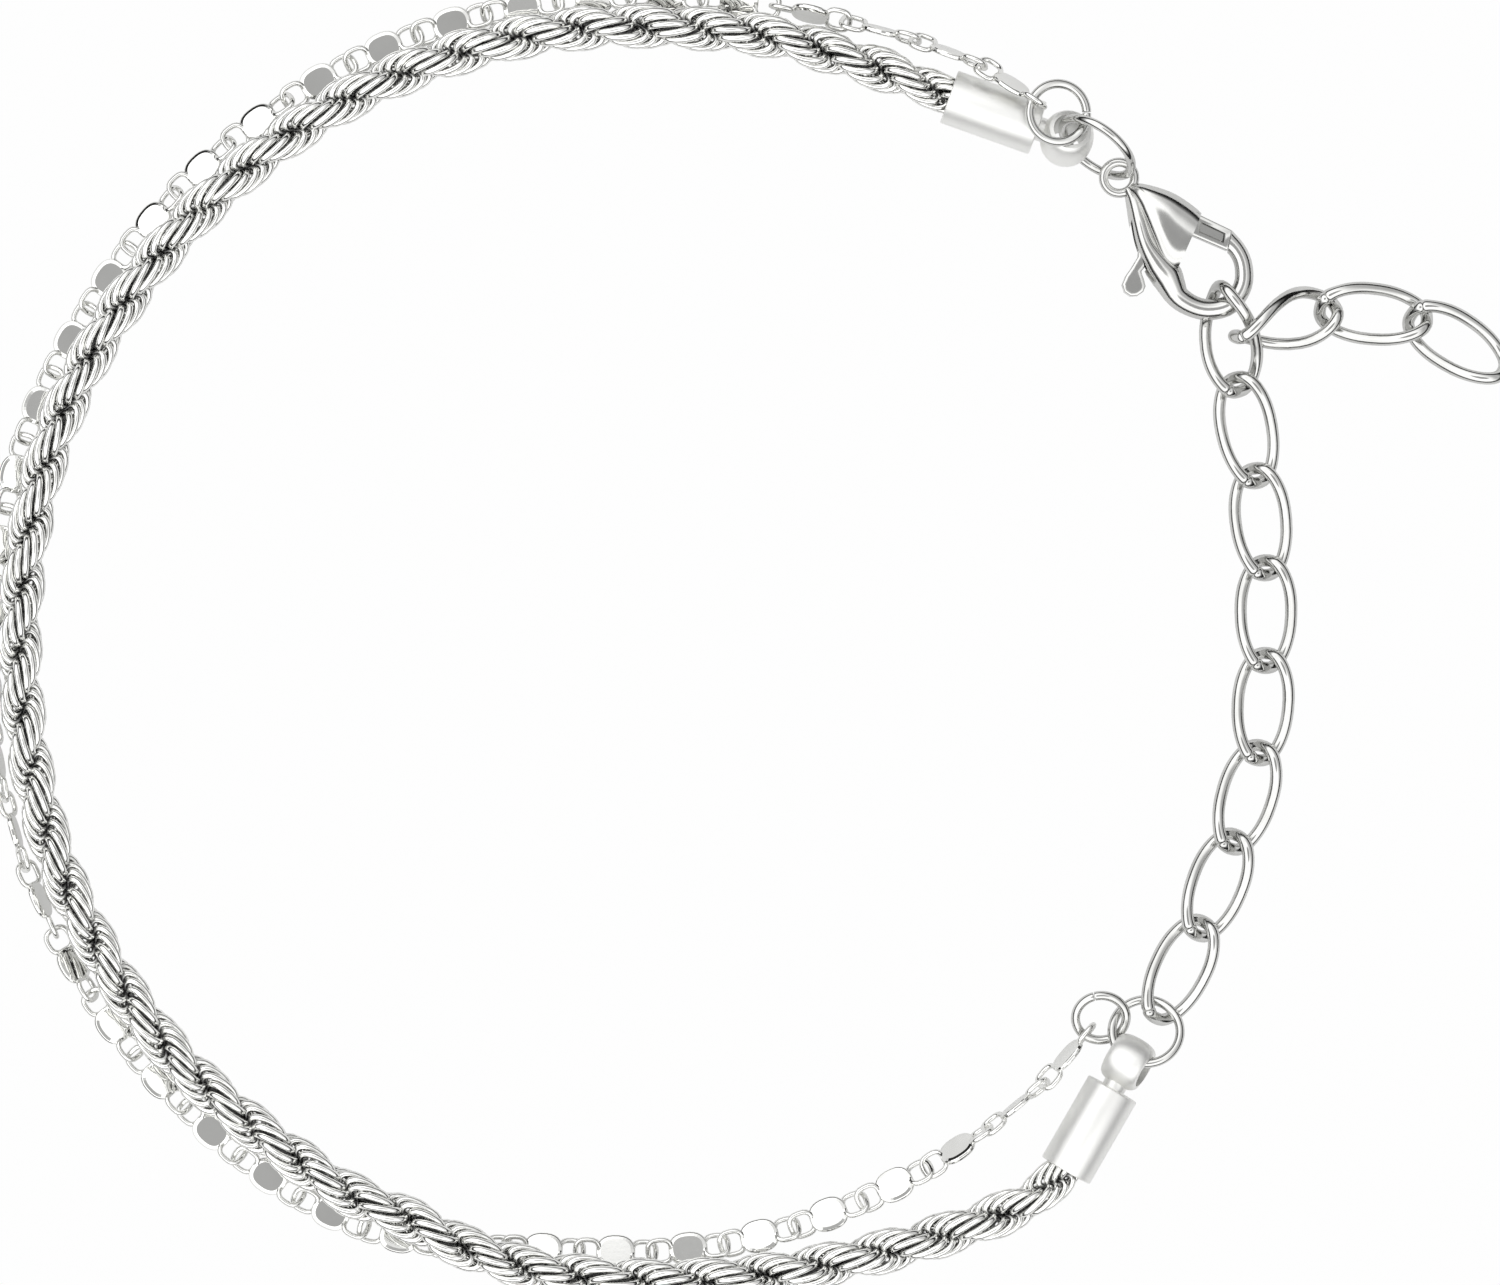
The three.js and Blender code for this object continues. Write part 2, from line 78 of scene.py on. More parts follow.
# Routes round the loop: bearing clockwise from +X in degrees, radius, height, and roll in degrees
ROPE_ROUTE = (
    (54.6, 33.6, 1.375), (58, 33.45, 1.3), (64, 32.9, 1.2), (72, 32.3, 1.38), (80, 31.95, 1.7),
    (90, 31.7, 1.96), (100, 31.65, 2.08), (107, 31.4, 2.12), (113, 31.05, 2.0), (120, 31.2, 1.84),
    (140, 31.35, 1.76), (160, 31.5, 1.6), (180, 31.45, 1.66), (200, 31.5, 1.7), (220, 31.25, 1.76),
    (240, 31.15, 1.76), (260, 31.0, 1.74), (280, 30.95, 1.64), (290, 30.95, 1.4), (295.5, 31.1, 1.375),
)
PLATE_ROUTE = (
    (46, 29.45, 1.0, 66), (53, 29.5, 0.99, 80), (59, 29.6, 0.84, 40), (66, 29.75, 0.54, 6),
    (73, 29.95, 0.5, 0), (80, 30.2, 0.5, 0), (87, 30.4, 0.5, 0), (94, 30.5, 0.5, 0),
    (101, 30.8, 0.5, 0), (107, 31.55, 0.5, 0), (113, 32.3, 0.5, 0), (120, 32.75, 0.5, 0),
    (130, 32.85, 0.52, 0), (145, 33.0, 0.58, 4), (158, 33.15, 0.94, 62), (166, 33.15, 0.99, 84),
    (173, 33.2, 0.94, 62), (184, 33.05, 0.57, 4), (200, 32.95, 0.52, 0), (220, 32.8, 0.58, 0),
    (235, 32.8, 0.59, 0), (250, 32.75, 0.5, 0), (265, 32.6, 0.52, 0), (277, 32.55, 0.59, 4),
    (284, 32.6, 0.97, 55), (290, 32.8, 1.15, 86), (296, 33.15, 1.85, 93), (300.5, 33.3, 2.5, 101),
)

# Bearings between which plates lie dead flat or lean towards the rope, and the others' lean and its step
FLAT_STRETCHES = ((115.5, 135), (202, 215), (239, 257.5))
INWARD_STRETCH = (215, 239)
INWARD_LEAN = -24.0
PLATE_LEAN = 12.0
LEAN_STEP = 1.5


class Primitive(Enum):
    """Mesh primitives that a piece starts from."""

    TORUS = "torus"
    CYLINDER = "cylinder"
    CIRCLE = "circle"
    PLANE = "plane"


class Cut(Enum):
    """What a boolean does with the second shape."""

    JOIN = "UNION"
    REMOVE = "DIFFERENCE"


def start_from(kind: Primitive, name: str, **sizes: object) -> Piece:
    """Adds a primitive at the origin with nothing else selected.

    Args:
        kind: the primitive.
        name: name of the new piece.
        sizes: the operator's own size arguments.

    Returns:
        The new object.
    """
    bpy.ops.object.select_all(action="DESELECT")
    getattr(bpy.ops.mesh, f"primitive_{kind.value}_add")(**sizes)
    piece = bpy.context.active_object
    piece.name = name
    piece.data.name = name
    return piece


def select_only(piece: Piece) -> None:
    """Makes a piece active, with nothing else selected."""
    bpy.ops.object.select_all(action="DESELECT")
    bpy.context.view_layer.objects.active = piece
    piece.select_set(True)


@contextmanager
def editing(piece: Piece) -> Iterator[None]:
    """Opens a piece in edit mode with nothing selected, and closes it at the end.

    Args:
        piece: the piece to shape.
    """
    select_only(piece)
    bpy.ops.object.mode_set(mode="EDIT")
    bpy.ops.mesh.select_mode(type="FACE")
    bpy.ops.mesh.select_all(action="DESELECT")
    yield
    bpy.ops.object.mode_set(mode="OBJECT")


def face_outwards() -> None:
    """Turns all faces of the piece in edit mode outwards."""
    bpy.ops.mesh.select_all(action="SELECT")
    bpy.ops.mesh.normals_make_consistent(inside=False)


def select_faces(piece: Piece, test: Callable[[bmesh.types.BMFace], bool]) -> None:
    """Selects the faces that pass a test, and no others, while a piece is edited.

    Args:
        piece: the piece in edit mode.
        test: says whether a face is wanted, by its place or normal.
    """
    bpy.ops.mesh.select_all(action="DESELECT")
    mesh = bmesh.from_edit_mesh(piece.data)
    for face in mesh.faces:
        face.select_set(test(face))
    bmesh.update_edit_mesh(piece.data)


def reshape(piece: Piece, place: Callable[[Vector], Vector]) -> None:
    """Moves every vertex of a piece.

    Args:
        piece: the piece.
        place: gives the new place of a vertex.
    """
    for vertex in piece.data.vertices:
        vertex.co = place(vertex.co.copy())
    piece.data.update()


def apply_modifier(piece: Piece, kind: str, **values: object) -> None:
    """Adds a modifier with its values and applies it.

    Args:
        piece: the piece that gets it.
        kind: the modifier's type.
        values: its settings.
    """
    select_only(piece)
    modifier = piece.modifiers.new(kind.lower(), kind)
    for key, value in values.items():
        setattr(modifier, key, value)
    bpy.ops.object.modifier_apply(modifier=modifier.name)


def combine(piece: Piece, other: Piece, cut: Cut) -> None:
    """Joins a second shape to a piece or removes it from the piece, and deletes that shape."""
    apply_modifier(piece, "BOOLEAN", object=other, operation=cut.value, solver="EXACT", use_self=True)
    bpy.data.objects.remove(other)


def round_edges(piece: Piece, width: float, segments: int, degrees: float) -> None:
    """Bevels the edges that are sharper than an angle in degrees."""
    apply_modifier(piece, "BEVEL", width=width, segments=segments, limit_method="ANGLE",
                   angle_limit=math.radians(degrees))


def smooth(piece: Piece, degrees: float) -> None:
    """Shades a piece smooth, with sharp edges above an angle in degrees."""
    select_only(piece)
    bpy.ops.object.shade_smooth_by_angle(angle=math.radians(degrees))


def closed_wire(name: str, line: Callable[[float], Vector], gauge: Callable[[float], float], steps: int,
                wire_steps: int) -> Piece:
    """Bends a torus into a closed wire round a centre line.

    Args:
        name: name of the piece.
        line: centre line, for a turn from 0 to 1.
        gauge: radius of the wire, for a turn from 0 to 1.
        steps: segments along the wire.
        wire_steps: segments round the wire.

    Returns:
        The wire.
    """
    piece = start_from(Primitive.TORUS, name, major_segments=steps, minor_segments=wire_steps,
                       major_radius=1.0, minor_radius=0.2)
    small = 1e-3

    def place(corner: Vector) -> Vector:
        """New place of a corner of the torus."""
        turn = (math.atan2(corner.y, corner.x) / math.tau) % 1.0
        around = math.atan2(corner.z, math.hypot(corner.x, corner.y) - 1.0)
        centre = line(turn)
        tangent = (line(turn + small) - line(turn - small)).normalized()
        outward = (centre - tangent * centre.dot(tangent)).normalized()
        across = outward.cross(tangent)
        return centre + (outward * math.cos(around) - across * math.sin(around)) * gauge(turn)

    reshape(piece, place)
    return piece


def loft(name: str, section: Sequence[Vector], stations: Sequence[Matrix]) -> Piece:
    """Makes a solid by extruding a flat section from station to station.

    Args:
        name: name of the piece.
        section: the unit section's corners, in order, in the XY plane.
        stations: place, turn and stretch of the section at each station.

    Returns:
        The closed solid.
    """
    piece = start_from(Primitive.CIRCLE, name, vertices=len(section), radius=1.0, fill_type="NGON")
    for vertex, corner in zip(piece.data.vertices, section):
        vertex.co = stations[0] @ corner
    with editing(piece):
        bpy.ops.mesh.select_all(action="SELECT")
        for before, after in zip(stations, stations[1:]):
            bpy.ops.mesh.extrude_region()
            move = after @ before.inverted()
            mesh = bmesh.from_edit_mesh(piece.data)
            for vertex in mesh.verts:
                if vertex.select:
                    vertex.co = move @ vertex.co
            bmesh.update_edit_mesh(piece.data)
        face_outwards()
    return piece


def prism(name: str, outline: Outline, height: float) -> Piece:
    """Makes a flat prism, centred on the XY plane.

    Args:
        name: name of the piece.
        outline: corners in order.
        height: thickness along Z.

    Returns:
        The closed solid.
    """
    section = [Vector((x, y, 0.0)) for x, y in outline]
    stations = [Matrix.Translation((0, 0, -height / 2)), Matrix.Translation((0, 0, height / 2))]
    return loft(name, section, stations)


def rimmed_plate(name: str, outline: Outline, thickness: float, rim: float, drop: float,
                 edge: float = 0.0) -> Piece:
    """Makes a plate with a flat middle inside a sloping rim, on both faces, and perhaps a rounded edge.

    Args:
        name: name of the piece.
        outline: corners in order.
        thickness: thickness at the middle.
        rim: width of the sloping rim.
        drop: how far the rim falls.
        edge: radius of the rounded edge, or none.

    Returns:
        The closed solid.
    """
    piece = prism(name, outline, thickness - 2 * drop)
    with editing(piece):
        for side in (-1, 1):
            select_faces(piece, lambda face: face.normal.z * side > FACING)
            bpy.ops.mesh.inset(thickness=rim, depth=drop)
    if edge:
        round_edges(piece, edge, segments=3, degrees=50)
    return piece


def turned(degrees: float, axis: str | Vector) -> Matrix:
    """Turn about an axis, in degrees."""
    return Matrix.Rotation(math.radians(degrees), 4, axis)


def aim(heading: float, slope: float = 0.0, roll: float = 0.0) -> Matrix:
    """Turn that brings the X axis to a heading and slope, after a roll about it, in degrees."""
    return turned(heading, "Z") @ turned(-slope, "Y") @ turned(roll, "X")


def framed(origin: Vector, x: Vector, y: Vector, z: Vector) -> Matrix:
    """Place with a given origin and axes."""
    return Matrix.Translation(origin) @ Matrix((x, y, z)).transposed().to_4x4()


def heading_vector(heading: float) -> Vector:
    """Level direction at an angle from +X in degrees."""
    return Vector((math.cos(math.radians(heading)), math.sin(math.radians(heading)), 0.0))


def squared_oval(turn: float, half_x: float, half_y: float, power: float) -> Vector:
    """Point of a flat oval, squarer for a smaller power, for a turn from 0 to 1."""
    level = heading_vector(360 * turn)
    x = half_x * math.copysign(abs(level.x) ** power, level.x)
    y = half_y * math.copysign(abs(level.y) ** power, level.y)
    return Vector((x, y, 0.0))


def on_loop(bearing: float, radius: float, height: float) -> Vector:
    """Point on the loop, by its bearing clockwise from +X in degrees."""
    return heading_vector(-bearing) * radius + UP * height


class Route:
    """Smooth curve through points, as a centripetal Catmull-Rom spline with known length."""

    DIVISIONS = 2000
    SMALL = 1e-4

    def __init__(self, points: Sequence[Vector]) -> None:
        """Takes the points and measures the curve."""
        self.points = [Vector(point) for point in points]
        self.spans = len(self.points) - 1
        steps = [self.point(index / self.DIVISIONS) for index in range(self.DIVISIONS + 1)]
        runs = [0.0] + [(b - a).length for a, b in zip(steps, steps[1:])]
        self.lengths = np.cumsum(runs)
        self.length = float(self.lengths[-1])

    def point(self, share: float) -> Vector:
        """Point at a share of the spans, from 0 to 1."""
        place = min(max(share, 0.0), 1.0) * self.spans
        index = min(int(place), self.spans - 1)
        weight = place - index
        one, two = self.points[index], self.points[index + 1]
        before = self.points[index - 1] if index else one * 2 - two
        after = self.points[index + 2] if index + 2 <= self.spans else two * 2 - one
        pairs = ((before, one), (one, two), (two, after))
        gaps = [max(math.sqrt((b - a).length), self.SMALL) for a, b in pairs]
        slope_one = (one - before) / gaps[0] - (two - before) / (gaps[0] + gaps[1]) + (two - one) / gaps[1]
        slope_two = (two - one) / gaps[1] - (after - one) / (gaps[1] + gaps[2]) + (after - two) / gaps[2]
        slope_one *= gaps[1]
        slope_two *= gaps[1]
        square, cube = weight ** 2, weight ** 3
        bend = (one * 2 - two * 2 + slope_one + slope_two) * cube
        return one + slope_one * weight + (two * 3 - one * 3 - slope_one * 2 - slope_two) * square + bend

    def share_at(self, along: float) -> float:
        """Share of the spans at a share of the length."""
        places = np.arange(self.DIVISIONS + 1) / self.DIVISIONS
        return float(np.interp(along * self.length, self.lengths, places))

    def at(self, along: float) -> Vector:
        """Point at a share of the length."""
        return self.point(self.share_at(along))

    def tangent(self, along: float) -> Vector:
        """Direction at a share of the length."""
        share = self.share_at(along)
        return (self.point(share + self.SMALL) - self.point(share - self.SMALL)).normalized()


def joined_copies(name: str, pattern: Piece, places: Sequence[Matrix]) -> Piece:
    """Copies one modelled shape with its shading to many places, as one joined mesh made from arrays.

    Args:
        name: name of the new piece.
        pattern: the shape, which is deleted afterwards.
        places: one matrix for each copy.

    Returns:
        The joined piece.
    """
    mesh = pattern.data
    corners = np.empty(len(mesh.vertices) * 3)
    mesh.vertices.foreach_get("co", corners)
    corners = corners.reshape(-1, 3)
    faces = [list(polygon.vertices) for polygon in mesh.polygons]
    rounded = np.array([polygon.use_smooth for polygon in mesh.polygons])
    count = len(corners)
    points = []
    polygons = []
    for number, place in enumerate(places):
        turn = np.array(place)
        points.append(corners @ turn[:3, :3].T + turn[:3, 3])
        polygons.extend([index + number * count for index in face] for face in faces)
    whole = bpy.data.meshes.new(name)
    whole.from_pydata(np.concatenate(points).tolist(), [], polygons)
    whole.polygons.foreach_set("use_smooth", np.tile(rounded, len(places)))
    whole.update()
    piece = bpy.data.objects.new(name, whole)
    bpy.context.scene.collection.objects.link(piece)
    bpy.data.objects.remove(pattern)
    return piece


def grey(value: float) -> tuple[float, float, float, float]:
    """Opaque grey of a given value."""
    return (value, value, value, 1.0)


def set_inputs(node: bpy.types.Node, values: dict[str, object]) -> None:
    """Sets a node's inputs by name."""
    for name, value in values.items():
        node.inputs[name].default_value = value


def add_node(tree: Tree, kind: str, inputs: dict[str, object] | None = None,
             **settings: object) -> bpy.types.Node:
    """Adds a node to a tree.

    Args:
        tree: the node tree.
        kind: the node's type.
        inputs: values of its inputs, by name.
        settings: its own settings.

    Returns:
        The new node.
    """
    node = tree.nodes.new(kind)
    for key, value in settings.items():
        setattr(node, key, value)
    set_inputs(node, inputs or {})
    return node


def connect(tree: Tree, *rows: tuple) -> None:
    """Links nodes, each row giving a node and its output, then a node and its input."""
    for source, output, target, entry in rows:
        tree.links.new(source.outputs[output], target.inputs[entry])


def silver_group() -> Tree:
    """Builds the plating effect that all finishes share.

    Returns:
        A group that gives a clouded colour, a roughness and a fine height over the surface.
    """
    group = bpy.data.node_groups.new("silver_plating", "ShaderNodeTree")
    colour, number = "NodeSocketColor", "NodeSocketFloat"
    entries = {"Bright": colour, "Dull": colour, "Cloud Scale": number, "Grain Scale": number,
               "Polish": number, "Haze": number}
    exits = {"Color": colour, "Roughness": number, "Height": number}
    for way, sockets in (("INPUT", entries), ("OUTPUT", exits)):
        for name, kind in sockets.items():
            group.interface.new_socket(name=name, in_out=way, socket_type=kind)
    entry = add_node(group, "NodeGroupInput")
    leave = add_node(group, "NodeGroupOutput")
    place = add_node(group, "ShaderNodeTexCoord")
    clouds = add_node(group, "ShaderNodeTexNoise", {"Detail": 4.0})
    grain = add_node(group, "ShaderNodeTexNoise", {"Detail": 3.0})
    cloud_share = add_node(group, "ShaderNodeMapRange", {"From Min": 0.42, "From Max": 0.75})
    tint = add_node(group, "ShaderNodeMix", data_type="RGBA")
    blur = add_node(group, "ShaderNodeMix", data_type="FLOAT")
    connect(
        group,
        (place, "Object", clouds, "Vector"), (place, "Object", grain, "Vector"),
        (entry, "Cloud Scale", clouds, "Scale"), (entry, "Grain Scale", grain, "Scale"),
        (clouds, "Fac", cloud_share, "Value"), (cloud_share, "Result", tint, "Factor"),
        (entry, "Bright", tint, "A"), (entry, "Dull", tint, "B"), (tint, "Result", leave, "Color"),
        (grain, "Fac", blur, "Factor"), (entry, "Polish", blur, "A"), (entry, "Haze", blur, "B"),
        (blur, "Result", leave, "Roughness"), (grain, "Fac", leave, "Height"),
    )
    return group


@dataclass(frozen=True)
class SilverFinish:
    """Bright silver plating, with its own tone and polish."""

    slot: str
    bright: Colour
    dull: Colour
    polish: float
    haze: float
    # Colour painted on as shade on the rope rings' inner sides, mixed in by a per-corner attribute; none for
    # the other finishes
    painted_shade: Colour | None = None
    cloud_scale: float = 420.0
    grain_scale: float = 5200.0
    relief: float = 0.05
    relief_height: float = 0.01

    def material(self, group: Tree) -> bpy.types.Material:
        """Makes the material.

        Args:
            group: the shared plating effect.

        Returns:
            A metal whose colour, roughness and fine bump come from the group, its colour darkened by painted
            shade where the finish has some.
        """
        material = bpy.data.materials.new(f"silver_{self.slot}")
        material.use_nodes = True
        tree = material.node_tree
        shader = tree.nodes["Principled BSDF"]
        set_inputs(shader, {"Metallic": 1.0})
        plating = add_node(tree, "ShaderNodeGroup", {
            "Bright": (*self.bright, 1.0), "Dull": (*self.dull, 1.0), "Cloud Scale": self.cloud_scale,
            "Grain Scale": self.grain_scale, "Polish": self.polish, "Haze": self.haze,
        }, node_tree=group)
        bump = add_node(tree, "ShaderNodeBump",
                        {"Strength": self.relief, "Distance": self.relief_height * MM})
        colour = (plating, "Color")
        # Painted shade: mixes the dark colour into the plating colour by the per-corner attribute, darkest
        # on the rings' inner sides
        if self.painted_shade:
            depth = add_node(tree, "ShaderNodeAttribute", attribute_name=UNSHADED)
            painted_shade_mix = add_node(tree, "ShaderNodeMix", {"A": (*self.painted_shade, 1.0)}, data_type="RGBA")
            connect(tree, (depth, "Fac", painted_shade_mix, "Factor"), (*colour, painted_shade_mix, "B"))
            colour = (painted_shade_mix, "Result")
        connect(
            tree,
            (*colour, shader, "Base Color"), (plating, "Roughness", shader, "Roughness"),
            (plating, "Height", bump, "Height"), (bump, "Normal", shader, "Normal"),
        )
        return material


# The rope wire gets near-black painted shade on the inner sides of its rings, where the wires crowd together
ROPE_FINISH = SilverFinish("rope_wire", (0.97, 0.97, 0.95), (0.88, 0.88, 0.86), 0.05, 0.13,
                           painted_shade=(0.08, 0.08, 0.08))
PLATE_FINISH = SilverFinish("mirror_plate", (0.88, 0.88, 0.86), (0.8, 0.8, 0.78), 0.03, 0.09)
FITTING_FINISH = SilverFinish("fitting", (0.98, 0.98, 0.96), (0.94, 0.94, 0.92), 0.4, 0.55)
LINK_FINISH = SilverFinish("link_wire", (0.7, 0.7, 0.685), (0.58, 0.58, 0.565), 0.06, 0.15)
CLASP_FINISH = SilverFinish("clasp", (0.7, 0.7, 0.685), (0.6, 0.6, 0.585), 0.1, 0.18)


class Workshop:
    """Finishes pieces: places them, dresses them and ties them to the frame."""

    def __init__(self) -> None:
        """Makes the shared plating effect and an empty set of materials."""
        self.group = silver_group()
        self.materials: dict[str, bpy.types.Material] = {}

    def material(self, finish: SilverFinish) -> bpy.types.Material:
        """The finish's material, made once."""
        if finish.slot not in self.materials:
            self.materials[finish.slot] = finish.material(self.group)
        return self.materials[finish.slot]

    def hand_over(self, piece: Piece, place: Matrix, finish: SilverFinish, nodes: Sequence[str],
                  body: str = MAIN_BODY) -> None:
        """Moves a piece's mesh to its place and makes it stand for its nodes.

        Args:
            piece: the modelled piece, in millimetres about its own origin.
            place: its place in the loop's frame.
            finish: its plating.
            nodes: the nodes that it replaces.
            body: the body that it rides on.
        """
        piece.data.transform(TO_FRAME @ place @ piece.matrix_world)
        piece.matrix_world = Matrix.Identity(4)
        piece.data.materials.clear()
        piece.data.materials.append(self.material(finish))
        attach(piece, body)
        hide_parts(*nodes)
        triangles = sum(len(face.vertices) - 2 for face in piece.data.polygons)
        lowest = min(vertex.co.z for vertex in piece.data.vertices) / MM
        LOG.info("%s: %d triangles, lowest point at %.3f mm", piece.name, triangles, lowest)

    def dress_node(self, node: Piece, finish: SilverFinish) -> None:
        """Gives a node that stays visible its plating."""
        node.data.materials.clear()
        node.data.materials.append(self.material(finish))


@dataclass
class EndCap:
    """Cup that holds an end of the rope, with a neck and a broad loop."""

    name: str
    x: float
    y: float
    heading: float
    roll: float
    length: float = 4.7
    radius: float = 1.375
    bore: float = 1.18
    depth: float = 3.6
    rim: float = 0.07
    flats: int = 16
    neck_radius: float = 0.6
    neck_overlap: float = 0.35
    loop_offset: float = 1.55
    loop_inner: float = 0.85
    loop_outer: float = 1.31
    loop_half_band: float = 0.98
    loop_flat: float = 0.4
    loop_steps: int = 56
    crown_power: float = 0.6
    crown_steps: int = 12
    sides: int = 64

    @property
    def height(self) -> float:
        """Height of the cup's axis, with one of the node's flats on the surface."""
        return self.radius * math.cos(math.pi / self.flats)

    def mouth_point(self, depth: float) -> Vector:
        """Point on the cup's axis at a depth from its mouth."""
        return Vector((self.x, self.y, self.height)) + heading_vector(self.heading) * depth

    def cup(self) -> Piece:
        """Models the cup with its bore and neck along +X from its mouth."""
        piece = start_from(Primitive.CYLINDER, self.name, vertices=self.sides, radius=self.radius,
                           depth=self.length, location=(self.length / 2, 0, 0), rotation=(0, math.pi / 2, 0))
        bpy.ops.object.transform_apply(location=True, rotation=True, scale=True)
        with editing(piece):
            select_faces(piece, lambda face: face.normal.x < -FACING)
            bpy.ops.mesh.inset(thickness=self.radius - self.bore)
            bpy.ops.mesh.extrude_region_move(TRANSFORM_OT_translate={"value": (self.depth, 0, 0)})
            select_faces(piece, lambda face: face.normal.x > FACING)
            bpy.ops.mesh.inset(thickness=self.radius - self.neck_radius)
            reach = self.loop_offset - self.loop_outer + self.neck_overlap
            bpy.ops.mesh.extrude_region_move(TRANSFORM_OT_translate={"value": (reach, 0, 0)})
        round_edges(piece, self.rim, segments=3, degrees=40)
        return piece

    def loop(self) -> Piece:
        """Models the broad loop: a crowned band spun about Z, then rolled and set on the neck."""
        half = self.loop_half_band
        rise = self.loop_outer - self.loop_inner
        profile = []
        for step in range(self.crown_steps + 1):
            angle = math.pi * step / self.crown_steps
            share = math.sin(angle) ** self.crown_power
            profile.append(Vector((self.loop_inner + rise * share, 0.0, -half * math.cos(angle))))
        profile += [Vector((self.loop_inner, 0.0, half * side * self.loop_flat)) for side in (1, -1)]
        piece = start_from(Primitive.CIRCLE, f"{self.name}_loop", vertices=len(profile), radius=1.0)
        for vertex, corner in zip(piece.data.vertices, profile):
            vertex.co = corner
        with editing(piece):
            bpy.ops.mesh.select_all(action="SELECT")
            bpy.ops.mesh.spin(steps=self.loop_steps, angle=math.tau, center=(0, 0, 0), axis=(0, 0, 1),
                              use_auto_merge=True)
            bpy.ops.mesh.select_all(action="SELECT")
            bpy.ops.mesh.remove_doubles(threshold=1e-4)
            face_outwards()
        middle = Matrix.Translation((self.length + self.loop_offset, 0, 0))
        piece.data.transform(middle @ turned(self.roll, "X"))
        return piece

    def build(self, workshop: Workshop) -> None:
        """Models the whole fitting and hands it over."""
        piece = self.cup()
        combine(piece, self.loop(), Cut.JOIN)
        smooth(piece, degrees=30)
        place = Matrix.Translation((self.x, self.y, self.height)) @ aim(self.heading)
        piece.name = f"{self.name}_polished"
        workshop.hand_over(piece, place, FITTING_FINISH, [self.name])


@dataclass
class JumpRing:
    """Split ring of round wire, its ends butted together."""

    name: str
    x: float
    y: float
    height: float
    outer: float
    heading: float
    tilt: float
    seam: float
    wire: float = 0.46
    gap: float = 0.05
    end_round: float = 0.03
    steps: int = 72
    wire_sides: int = 16

    @property
    def radius(self) -> float:
        """Radius of the wire's centre line."""
        return (self.outer - self.wire) / 2

    @property
    def place(self) -> Matrix:
        """Place of the ring: centred, with one side tilted up."""
        level = heading_vector(self.heading)
        axis = Vector((level.y, -level.x, 0.0))
        return Matrix.Translation((self.x, self.y, self.height)) @ turned(self.tilt, axis)

    def wire_point(self, heading: float) -> Vector:
        """Point of the wire's centre line on the side that faces a heading."""
        turn = math.radians(heading - self.heading)
        level = heading_vector(self.heading)
        side = UP.cross(level)
        rise = level * math.cos(math.radians(self.tilt)) + UP * math.sin(math.radians(self.tilt))
        middle = Vector((self.x, self.y, self.height))
        return middle + rise * self.radius * math.cos(turn) + side * self.radius * math.sin(turn)

    def build(self, workshop: Workshop) -> None:
        """Spins the wire's round section nearly all the way round and rounds its cut ends."""
        piece = start_from(Primitive.CIRCLE, f"{self.name}_wire", vertices=self.wire_sides,
                           radius=self.wire / 2, fill_type="NGON", rotation=(math.pi / 2, 0, 0),
                           location=(self.radius, 0, 0))
        bpy.ops.object.transform_apply(location=True, rotation=True, scale=True)
        with editing(piece):
            bpy.ops.mesh.select_all(action="SELECT")
            bpy.ops.mesh.spin(steps=self.steps, angle=math.tau - self.gap / self.radius,
                              center=(0, 0, 0), axis=(0, 0, 1))
            face_outwards()
        round_edges(piece, self.end_round, segments=2, degrees=60)
        smooth(piece, degrees=50)
        workshop.hand_over(piece, self.place @ turned(self.seam, "Z"), LINK_FINISH, [self.name])


@dataclass
class CurbLink:
    """Oval link of round wire, turned about its length, with a soldered seam."""

    number: int
    middle: Vector
    heading: float
    slope: float = 0.0
    start_twist: float = 42.0
    end_twist: float = 42.0
    wire: float = 0.62
    half_length: float = 2.69
    half_width: float = 1.265
    squareness: float = 0.74
    seam_turn: float = 0.42
    seam_width: float = 0.012
    seam_depth: float = 0.16
    seam_sharpness: float = 1.5
    solder_swell: float = 0.14
    solder_spread: float = 3.0
    crowding: float = 0.8
    sides: int = 96
    wire_sides: int = 16

    @property
    def node(self) -> str:
        """Name of the node that the link stands for."""
        return f"extension_link_{self.number:02d}"

    def line(self, turn: float) -> Vector:
        """Centre line: a squared oval, twisted from one end to the other."""
        flat = squared_oval(turn, self.half_length, self.half_width, self.squareness)
        share = (flat.x / self.half_length + 1) / 2
        twist = math.radians(self.start_twist * (1 - share) - self.end_twist * share)
        return Vector((flat.x, flat.y * math.cos(twist), flat.y * math.sin(twist)))

    def gauge(self, turn: float) -> float:
        """Wire radius, a little swollen at the solder and grooved at the seam."""
        away = abs((turn - self.seam_turn + 0.5) % 1.0 - 0.5) / self.seam_width
        swell = self.solder_swell * math.exp(-((away / self.solder_spread) ** 2))
        groove = self.seam_depth * math.exp(-((away * self.seam_sharpness) ** 2))
        return self.wire / 2 * (1 + swell - groove)

    def crowd(self, turn: float) -> float:
        """Brings the steps closer together about the seam."""
        return turn - self.crowding * math.sin(math.tau * (turn - self.seam_turn)) / math.tau

    def build(self, workshop: Workshop) -> None:
        """Bends a torus into the link and hands it over."""
        piece = closed_wire(f"{self.node}_wire", lambda turn: self.line(self.crowd(turn)),
                            lambda turn: self.gauge(self.crowd(turn)), self.sides, self.wire_sides)
        smooth(piece, degrees=80)
        place = Matrix.Translation(self.middle) @ aim(self.heading, self.slope)
        workshop.hand_over(piece, place, LINK_FINISH, [self.node])


